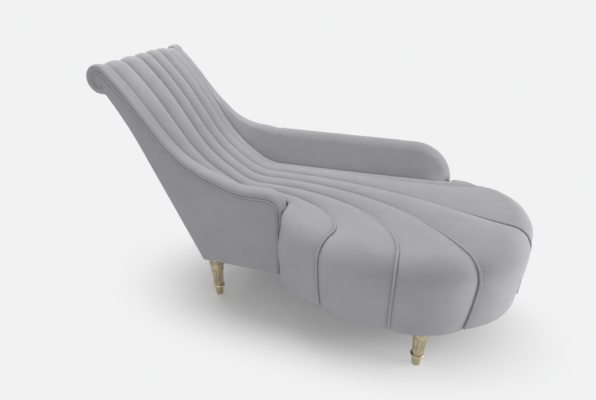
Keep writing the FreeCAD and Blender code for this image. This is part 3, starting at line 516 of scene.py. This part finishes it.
def wingPoints(side, rows, across, rise):
    # A point of the path plus its normal times the rise, mirrored on the far side.
    x = body["width"] - across if side == "far" else across
    return stack(x, rows[0] + rows[2] * rise, rows[1] + rows[3] * rise)


def section(points, spans):
    # Each span is a cubic curve between two of the points with its two handles.
    result = []
    share = np.linspace(0.0, 1.0, 9)[:-1, None, None]
    for start, leave, arrive, end in spans:
        result.append(bezier(start[None], leave[None], arrive[None], end[None], share))
    return np.concatenate(result + [points])


def makeWing(side):
    # A section of three curves, welt edge to crown to inner shoulder to seam, closed below
    # by straight lines, follows the rows.
    shared = wingShared
    rows = wingRows(side)
    edge, crownX, crownUp, innerX, innerUp, seamX, seamUp = rows[4:]
    flat = lambda across, rise: np.stack(np.broadcast_arrays(across, rise), -1)
    welt, crown = flat(shared["edgeX"], edge), flat(crownX, crownUp)
    inner, seam = flat(innerX, innerUp), flat(seamX - shared["pinch"], seamUp)
    slope = seam - inner
    spans = [
        (welt, flat(-0.0015, blend(edge, crownUp, 0.62)), flat(0.42 * crownX, crownUp), crown),
        (crown, flat(blend(crownX, innerX, 0.5), crownUp), inner - 0.30 * slope
         * np.minimum(1.0, 0.02 / np.linalg.norm(slope, axis=-1, keepdims=True)), inner),
        (inner, inner + 0.33 * slope, inner + 0.70 * slope + flat(0.003, 0.003), seam)]
    under = edge - shared["band"]
    base = [seam, flat(seamX - shared["pinch"], seamUp - shared["seamDepth"]),
            flat(body["board"] + shared["pinch"], np.maximum(under, shared["lowest"])),
            flat(panelLook["behind"], under), flat(panelLook["behind"], edge)]
    loop = section(np.stack(base), spans)
    lengths = np.linalg.norm(np.diff(np.stack([rows[0], rows[1]], -1), axis=0), axis=-1)
    run = np.concatenate([[0.0], np.cumsum(lengths)])[None, :]
    topRows = shared["topRows"]
    soft = np.sin(np.linspace(0.0, math.pi, topRows)) ** 0.5
    lift = np.zeros(loop.shape[:2])
    lift[:topRows] = shared["uneven"] * soft[:, None] * ripple(
        loop[:topRows, :, 0], run, shared["unevenScale"])
    points = wingPoints(side, rows, loop[..., 0], loop[..., 1] + lift)
    points = soften(points, shared["evenOut"])
    return gridPiece(side + "WingRoll", points.transpose(1, 0, 2), velvet,
                     [side + "_wing_band"])


edgeCord = {"radius": 0.003, "x": -0.0014, "up": 0.0004,
            "ranks": ((1.0, "Outer"), (3.2, "Inner"))}


def makeEdgeCords(side):
    # Two cords side by side, each rank radii below the welt edge.
    rows = wingRows(side)
    radius = edgeCord["radius"]
    outs = np.zeros((rows[0].size, 3))
    outs[:, 0] = 1.0 if side == "far" else -1.0
    for rank, name in edgeCord["ranks"]:
        spots = wingPoints(side, rows, edgeCord["x"], rows[4] - rank * radius + edgeCord["up"])
        spots = soften(spots[None], wingShared["evenOut"])[0]
        cordPiece(side + name + "Cord", spots, outs, radius,
                  [side + "_double_welt"])


def makePanel(side):
    # Ruled between the welt path and the outer back and bottom edge, with a soft swell.
    look = panelLook
    rows = wingRows(side)
    top = np.stack([rows[0] + rows[2] * (rows[4] - look["under"]),
                    rows[1] + rows[3] * (rows[4] - look["under"])], -1)
    steps = np.linalg.norm(np.diff(top, axis=0), axis=-1)
    run = np.concatenate([[0.0], np.cumsum(steps)])
    back = outerBackLine()
    rearFoot = back[0]
    frontFoot = np.array([rows[0][-1] - wings[side]["nose"], body["underside"]])
    scrollEnd = run[counts["scroll"] - 1]
    seatStart = run[parts[1] - 1]
    frontStart = run[-counts["front"]]
    backRun = np.concatenate([[0.0], np.cumsum(np.linalg.norm(np.diff(back[::-1], axis=0),
                                                               axis=-1))])
    share = np.clip((run - scrollEnd) / (seatStart - scrollEnd), 0.0, 1.0) * backRun[-1]
    low = np.stack([np.interp(share, backRun, back[::-1, k]) for k in (0, 1)], -1)
    share = smooth(run, seatStart, frontStart)
    low[run > seatStart, 0] = blend(rearFoot[0], frontFoot[0], share)[run > seatStart]
    low[run > seatStart, 1] = body["underside"]
    grid = np.linspace(0.0, 1.0, look["samples"])[:, None, None]
    ease = 0.5 - 0.5 * np.cos(grid * math.pi)
    plane = blend(low[None], top[None], ease)
    span = np.linalg.norm(top - low, axis=-1)[None, :]
    inset = np.minimum(ease[..., 0], 1.0 - ease[..., 0]) * span
    swell = look["swell"] * smooth(inset, 0.0, look["swellReach"]) + look["uneven"] * ripple(
        plane[..., 0], plane[..., 1], look["unevenScale"]) * smooth(
            inset, 0.0, look["unevenReach"])
    x = look["face"] - swell
    outer = stack(x, plane[..., 0], plane[..., 1])
    inner = stack(look["thick"], plane[::-1, :, 0], plane[::-1, :, 1])
    points = np.concatenate([outer, inner])
    if side == "far":
        points[..., 0] = body["width"] - points[..., 0]
    return gridPiece(side + "OutsidePanel", points.transpose(1, 0, 2), velvet,
                     [side + "_side_panel"])


def outerBackLine():
    # Straight from the rear foot, then the one arc that ends under the scroll.
    look = backLook
    radius, reach, straight = body["scrollRadius"], look["aimRadius"], look["straight"]
    y, z, angle = along(profile, scrollRun)
    centre = (y + radius * math.sin(angle), z - radius * math.cos(angle))
    tuck = math.radians(look["aimTurn"])
    aim = (centre[0] + reach * math.cos(tuck), centre[1] + reach * math.sin(tuck))
    rise = math.radians(look["rake"])
    bend = (straight * math.cos(rise), body["underside"] + straight * math.sin(rise))
    chord = math.hypot(aim[0] - bend[0], aim[1] - bend[1])
    turn = 2.0 * (math.atan2(aim[1] - bend[1], aim[0] - bend[0]) - rise)
    path = walk((0.0, body["underside"]), look["rake"], [
        (straight, 0), (abs(chord / (2.0 * math.sin(turn / 2.0))), math.degrees(turn))])
    return np.stack(along(path, np.linspace(0.0, path["length"], look["points"]))[:2], -1)


def makeOuterBack():
    # The line carried across the body, swelling off it towards the middle.
    look = backLook
    line = outerBackLine()
    tangent = np.gradient(line, axis=0)
    tangent /= np.linalg.norm(tangent, axis=-1, keepdims=True)
    inward = np.stack([-tangent[:, 1], tangent[:, 0]], -1)
    across = 0.5 - 0.5 * np.cos(np.linspace(0.0, math.pi, look["samples"]))[:, None]
    x = blend(panelLook["behind"], body["width"] - panelLook["behind"], across)
    run = np.linspace(0.0, 1.0, line.shape[0])[None, :]
    edge = np.minimum(np.minimum(across, 1.0 - across) * look["width"],
                      np.minimum(run, 1.0 - run) * look["height"])
    swell = look["swell"] * smooth(edge, 0.0, look["swellReach"]) + look["uneven"] * ripple(
        x, run * look["height"], look["unevenScale"])
    outer = stack(x, line[None, :, 0] - inward[None, :, 0] * swell,
                  line[None, :, 1] - inward[None, :, 1] * swell)
    inside = (line + panelLook["thick"] * inward)[None]
    inner = stack(x[::-1], inside[..., 0] + 0 * run, inside[..., 1])
    rows = np.concatenate([outer, inner]).transpose(1, 0, 2)
    return gridPiece("outsideBack", rows, velvet, ["outer_back_panel"])


for side in ("near", "far"):
    makeWing(side)
    makeEdgeCords(side)
    makePanel(side)
makeOuterBack()
print("wings, panels and outer back made")

brassLook = {"bright": (0.60, 0.52, 0.35), "dull": (0.42, 0.36, 0.24), "roughness": 0.34}


def makeBrass(look):
    # Satin metal with a little tarnish and fine turning marks round the leg.
    material, tree, shader = newMaterial("satinBrass")
    spot = addNode(tree, "ShaderNodeTexCoord").outputs["Object"]
    tarnish = addNode(tree, "ShaderNodeTexNoise", inputs={
        "Vector": spot, "Scale": 45.0, "Detail": 5.0, "Roughness": 0.6}).outputs["Fac"]
    marks = addNode(tree, "ShaderNodeMapping", inputs={
        "Vector": spot, "Scale": (6.0, 6.0, 900.0)}).outputs["Vector"]
    lines = addNode(tree, "ShaderNodeTexNoise", inputs={
        "Vector": marks, "Scale": 1.0, "Detail": 2.0}).outputs["Fac"]
    color = ramp(tree, tarnish, 0.35, 0.65, look["dull"], look["bright"])
    tree.links.new(color, shader.inputs["Base Color"])
    rough = addNode(tree, "ShaderNodeMapRange", inputs={
        "Value": tarnish, "From Min": 0.3, "From Max": 0.7, "To Min": look["roughness"] + 0.1,
        "To Max": look["roughness"] - 0.04}).outputs["Result"]
    tree.links.new(rough, shader.inputs["Roughness"])
    bump = addNode(tree, "ShaderNodeBump", inputs={
        "Strength": 0.25, "Distance": 0.0003, "Height": lines})
    tree.links.new(bump.outputs["Normal"], shader.inputs["Normal"])
    shader.inputs["Metallic"].default_value = 1.0
    return material


def makeSimple(name, low, high, scale, roughness, stretch=(1.0, 1.0, 1.0), metallic=0.0):
    # Two close tones on a stretched noise, with the same noise as bump.
    material, tree, shader = newMaterial(name)
    spot = addNode(tree, "ShaderNodeTexCoord").outputs["Object"]
    drawn = addNode(tree, "ShaderNodeMapping", inputs={
        "Vector": spot, "Scale": stretch}).outputs["Vector"]
    noise = addNode(tree, "ShaderNodeTexNoise", inputs={
        "Vector": drawn, "Scale": scale, "Detail": 5.0, "Distortion": 0.5}).outputs["Fac"]
    tree.links.new(ramp(tree, noise, 0.35, 0.65, low, high), shader.inputs["Base Color"])
    bump = addNode(tree, "ShaderNodeBump", inputs={
        "Strength": 0.3, "Distance": 0.0005, "Height": noise})
    tree.links.new(bump.outputs["Normal"], shader.inputs["Normal"])
    shader.inputs["Roughness"].default_value = roughness
    shader.inputs["Metallic"].default_value = metallic
    return material


finishes = {
    "brass": makeBrass(brassLook),
    "board": makeSimple("beechBoard", (0.46, 0.33, 0.19), (0.60, 0.45, 0.28), 30.0, 0.6,
                        (1.0, 0.08, 1.0)),
    "foam": makeSimple("paddingFoam", (0.74, 0.70, 0.56), (0.84, 0.80, 0.68), 420.0, 0.95),
    "webbing": makeSimple("strapWebbing", (0.34, 0.28, 0.19), (0.50, 0.43, 0.31), 500.0, 0.9),
    "cover_cloth": makeSimple("underCloth", (0.016, 0.016, 0.018), (0.032, 0.032, 0.035),
                              700.0, 0.92),
    "steel": makeSimple("platedSteel", (0.42, 0.42, 0.43), (0.58, 0.58, 0.60), 90.0, 0.38,
                        metallic=1.0),
    "glide": makeSimple("glidePlastic", (0.02, 0.02, 0.02), (0.035, 0.035, 0.035), 260.0, 0.5),
    "velvet": velvet, "welt": weltCloth,
}
for part in frame["record"]["subparts"]:
    cad = nodes[part["node"]]
    cad.data.materials.clear()
    cad.data.materials.append(finishes[part["material_slot"]])
print("finishes set")

studio = {
    "floor": (0.885, 0.885, 0.89), "sky": 0.42,
    "key": {"spot": (1.0, 1.1, 3.2), "power": 70.0, "size": 1.8},
    "fill": {"spot": (-2.0, 0.2, 0.9), "power": 4.5, "size": 1.2},
    "footFill": {"spot": (0.2, -2.5, 0.55), "power": 32.0, "size": 1.2},
    "oval": (2.78, 1.28, 1.0), "fadeFrom": 0.55, "fadeTo": 1.35, "glow": 0.12,
    "reach": 60.0, "aim": (0, 0, 0.4), "backdrop": 0.89,
}


def makeFloor():
    # Pale floor that keeps the shadow near the piece and is evenly pale further out.
    mesh = bpy.data.meshes.new("studioFloor")
    reach = studio["reach"]
    mesh.from_pydata([(-reach, -reach, 0), (reach, -reach, 0), (reach, reach, 0),
                      (-reach, reach, 0)], [], [(0, 1, 2, 3)])
    floor = bpy.data.objects.new("studioFloor", mesh)
    bpy.context.scene.collection.objects.link(floor)
    material, tree, shader = newMaterial("floorPaint")
    spot = addNode(tree, "ShaderNodeTexCoord").outputs["Object"]
    oval = addNode(tree, "ShaderNodeMapping", inputs={
        "Vector": spot, "Scale": studio["oval"]}).outputs["Vector"]
    far = addNode(tree, "ShaderNodeVectorMath", {"operation": "LENGTH"}, {0: oval})
    fade = addNode(tree, "ShaderNodeMapRange", {"interpolation_type": "SMOOTHSTEP"}, {
        "Value": far.outputs["Value"], "From Min": studio["fadeFrom"],
        "From Max": studio["fadeTo"], "To Min": studio["glow"]}).outputs["Result"]
    rays = addNode(tree, "ShaderNodeLightPath")
    seen = addNode(tree, "ShaderNodeMath", {"operation": "MAXIMUM"}, {
        0: rays.outputs["Is Camera Ray"], 1: rays.outputs["Is Glossy Ray"]}).outputs[0]
    share = addNode(tree, "ShaderNodeMath", {"operation": "MULTIPLY"}, {
        0: fade, 1: seen}).outputs[0]
    shader.inputs["Base Color"].default_value = studio["floor"] + (1.0,)
    shader.inputs["Roughness"].default_value = 0.9
    glow = addNode(tree, "ShaderNodeEmission", inputs={
        "Color": studio["floor"] + (1.0,), "Strength": 1.0})
    mixed = addNode(tree, "ShaderNodeMixShader", inputs={
        0: share, 1: shader.outputs[0], 2: glow.outputs[0]})
    tree.links.new(mixed.outputs[0], tree.nodes["Material Output"].inputs["Surface"])
    mesh.materials.append(material)


def makeLight(name, spot, power, size):
    # A square lamp turned to the middle of the piece.
    lamp = bpy.data.lights.new(name, "AREA")
    lamp.energy, lamp.size = power, size
    light = bpy.data.objects.new(name, lamp)
    light.location = spot
    aim = Vector(studio["aim"]) - Vector(spot)
    light.rotation_euler = aim.to_track_quat("-Z", "Y").to_euler()
    bpy.context.scene.collection.objects.link(light)


def makeWorld():
    # Pale backdrop for the camera and reflections, and a dimmer sky for the light.
    world = bpy.data.worlds.new("studioWorld")
    bpy.context.scene.world = world
    world.use_nodes = True
    tree = world.node_tree
    rays = addNode(tree, "ShaderNodeLightPath")
    seen = addNode(tree, "ShaderNodeMath", {"operation": "MAXIMUM"}, {
        0: rays.outputs["Is Camera Ray"], 1: rays.outputs["Is Glossy Ray"]}).outputs[0]
    strength = addNode(tree, "ShaderNodeMapRange", inputs={
        "Value": seen, "To Min": studio["sky"], "To Max": studio["backdrop"]}).outputs["Result"]
    sky = tree.nodes["Background"]
    sky.inputs["Color"].default_value = (1.0, 1.0, 1.0, 1.0)
    tree.links.new(strength, sky.inputs["Strength"])


view = {"spot": (-1.3600, -0.3609, 1.180), "ahead": (0.9553, 0.2956), "pitch": 28.20,
        "lens": 25.97}


def makeCamera():
    # Looks along the heading, tilted down by the pitch.
    camera = bpy.data.objects.new("viewCamera", bpy.data.cameras.new("viewCamera"))
    camera.data.lens = view["lens"]
    camera.data.sensor_width = 36.0
    camera.data.sensor_fit = "HORIZONTAL"
    pitch = math.radians(view["pitch"])
    aim = Vector((view["ahead"][0] * math.cos(pitch), view["ahead"][1] * math.cos(pitch),
                  -math.sin(pitch)))
    camera.location = view["spot"]
    camera.rotation_euler = aim.to_track_quat("-Z", "Y").to_euler()
    bpy.context.scene.collection.objects.link(camera)
    bpy.context.scene.camera = camera


makeFloor()
for name in ("key", "fill", "footFill"):
    makeLight(name, **studio[name])
makeWorld()
makeCamera()
bpy.context.scene.view_settings.view_transform = "Standard"
print("studio ready")
